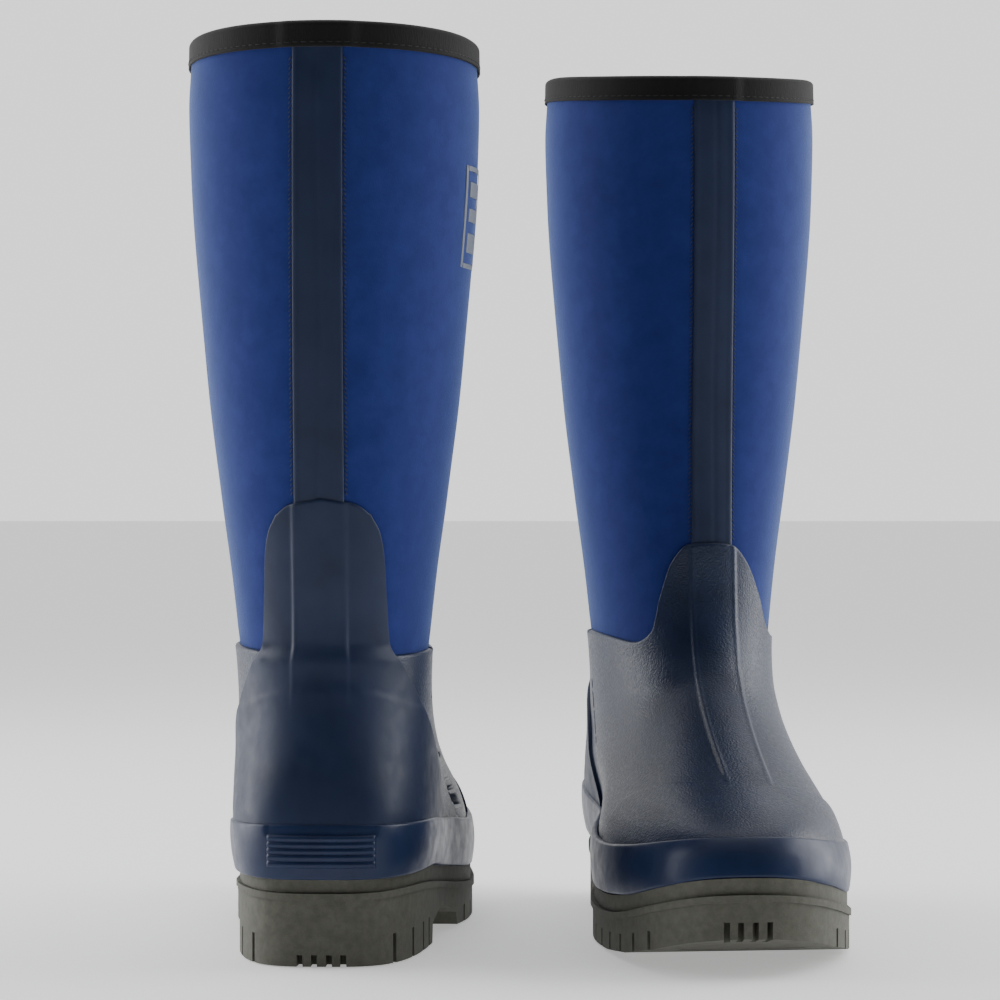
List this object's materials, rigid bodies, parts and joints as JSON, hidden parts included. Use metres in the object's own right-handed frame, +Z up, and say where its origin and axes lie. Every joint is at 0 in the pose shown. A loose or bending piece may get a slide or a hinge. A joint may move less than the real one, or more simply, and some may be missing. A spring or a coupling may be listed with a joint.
{
  "type": "pair of tall stable boots",
  "caption": "Pair of tall pull-on stable boots: knitted neoprene shafts with bound toplines, rubber strips front and back, grained rubber galoshes, heel counters and lugged soles.",
  "frame": {"origin": "centre of the pair's footprint, on the ground", "axes": "+Z up; +Y the way the right boot's toe points, the left boot's toe points along -Y; +X from the right boot towards the left boot"},
  "size_m": [0.3016, 0.3387, 0.4118],
  "materials": {
    "neoprene": "royal blue knitted jersey over closed-cell neoprene",
    "grained_rubber": "pebbled navy rubber",
    "navy_rubber": "smooth satin navy rubber",
    "rand_rubber": "smooth navy-blue rubber",
    "sole_rubber": "matte olive-grey rubber",
    "binding_tape": "black stretch tape",
    "black_thread": "black thread",
    "navy_thread": "navy overlocked thread",
    "badge_print": "grey transfer print",
    "lining_fabric": "dark knitted lining",
    "foam": "moulded foam",
    "footbed_fabric": "dark knitted cover",
    "fibreboard": "pressed board",
    "steel": "strip steel"
  },
  "bodies": {
    "right_boot": {"right_outsole": "sole_rubber", "right_midsole": "sole_rubber", "right_shank": "steel", "right_insole_board": "fibreboard", "right_neoprene_lateral": "neoprene", "right_neoprene_medial": "neoprene", "right_lining": "lining_fabric", "right_heel_stiffener": "fibreboard", "right_toe_puff": "fibreboard", "right_front_strip": "navy_rubber", "right_back_strip": "navy_rubber", "right_front_seams": "navy_thread", "right_back_seams": "navy_thread", "right_galosh": "grained_rubber", "right_heel_counter": "navy_rubber", "right_toe_cap": "grained_rubber", "right_rand": "rand_rubber", "right_heel_pad": "rand_rubber", "right_topline_binding": "binding_tape", "right_binding_thread": "black_thread", "right_side_badge": "badge_print"},
    "left_boot": {"left_outsole": "sole_rubber", "left_midsole": "sole_rubber", "left_shank": "steel", "left_insole_board": "fibreboard", "left_neoprene_lateral": "neoprene", "left_neoprene_medial": "neoprene", "left_lining": "lining_fabric", "left_heel_stiffener": "fibreboard", "left_toe_puff": "fibreboard", "left_front_strip": "navy_rubber", "left_back_strip": "navy_rubber", "left_front_seams": "navy_thread", "left_back_seams": "navy_thread", "left_galosh": "grained_rubber", "left_heel_counter": "navy_rubber", "left_toe_cap": "grained_rubber", "left_rand": "rand_rubber", "left_heel_pad": "rand_rubber", "left_topline_binding": "binding_tape", "left_binding_thread": "black_thread", "left_side_badge": "badge_print"},
    "right_footbed": {"right_footbed_foam": "foam", "right_footbed_cover": "footbed_fabric"},
    "left_footbed": {"left_footbed_foam": "foam", "left_footbed_cover": "footbed_fabric"}
  },
  "joints": [
    {"name": "left_boot_lift", "type": "slide", "parent": "right_boot", "child": "left_boot", "axis": [0, 0, 1], "range_m": [0, 0.45]},
    {"name": "right_footbed_lift", "type": "hinge", "parent": "right_boot", "child": "right_footbed", "pos_m": [-0.08011, 0.15503, 0.0442], "axis": [-0.9994, 0.0349, 0], "range_deg": [0, 2]},
    {"name": "left_footbed_lift", "type": "hinge", "parent": "left_boot", "child": "left_footbed", "pos_m": [0.09894, -0.15404, 0.0442], "axis": [0.9945, 0.1045, 0], "range_deg": [0, 2]}
  ]
}
